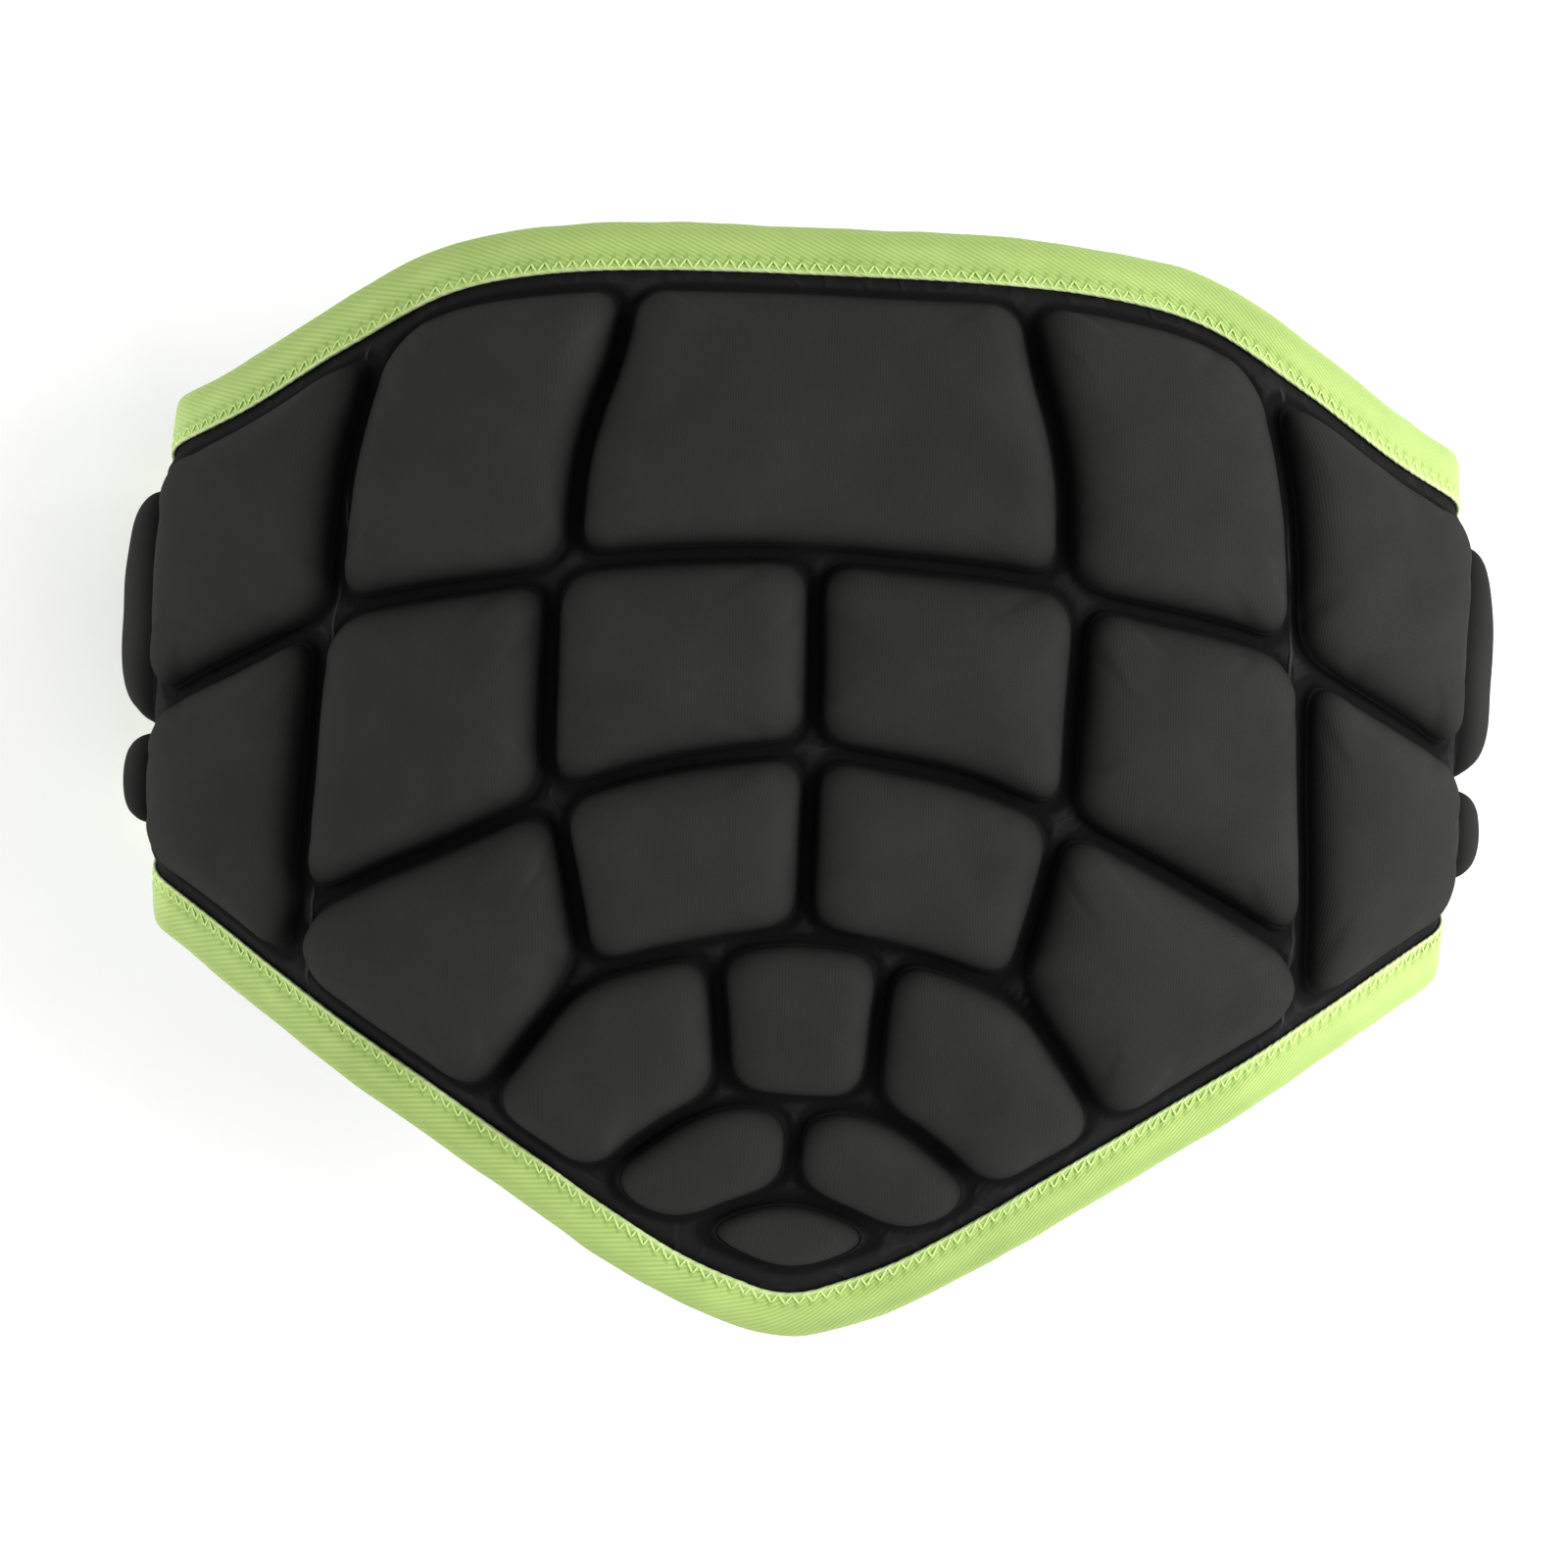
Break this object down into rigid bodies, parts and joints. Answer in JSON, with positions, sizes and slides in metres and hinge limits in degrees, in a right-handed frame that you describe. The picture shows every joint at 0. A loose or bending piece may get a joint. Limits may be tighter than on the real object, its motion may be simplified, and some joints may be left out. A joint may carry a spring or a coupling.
{
  "type": "hip pad",
  "caption": "Moulded foam hip pad with raised fabric-covered cells on a thin curved web, a tapered lower tip, two wings that bend back and a folded binding tape round the edge.",
  "frame": {"origin": "under the middle of the pad, on the surface its two wing ends stand on", "axes": "+X across the hips from wing to wing, +Y from the tip to the waist edge, +Z out of the padded face"},
  "size_m": [0.3394, 0.2618, 0.1263],
  "materials": {
    "web_fabric": "matt fine knit laminated to thin foam",
    "cell_fabric": "matt fine knit laminated to moulded foam",
    "binding_tape": "woven twill tape"
  },
  "bodies": {
    "root": {"web": "web_fabric", "waist_center": "cell_fabric", "waist_inner_left": "cell_fabric", "waist_inner_right": "cell_fabric", "waist_outer_left": "cell_fabric", "waist_outer_right": "cell_fabric", "waist_wing_left": "cell_fabric", "waist_wing_right": "cell_fabric", "hip_inner_left": "cell_fabric", "hip_inner_right": "cell_fabric", "hip_middle_left": "cell_fabric", "hip_middle_right": "cell_fabric", "hip_outer_left": "cell_fabric", "hip_outer_right": "cell_fabric", "hip_wing_left": "cell_fabric", "hip_wing_right": "cell_fabric", "seat_inner_left": "cell_fabric", "seat_inner_right": "cell_fabric", "seat_outer_left": "cell_fabric", "seat_outer_right": "cell_fabric", "lower_center": "cell_fabric", "lower_side_left": "cell_fabric", "lower_side_right": "cell_fabric", "tail_left": "cell_fabric", "tail_right": "cell_fabric", "tip": "cell_fabric", "binding_waist": "binding_tape", "binding_seat": "binding_tape", "binding_wing_left": "binding_tape", "binding_wing_right": "binding_tape"}
  },
  "joints": []
}
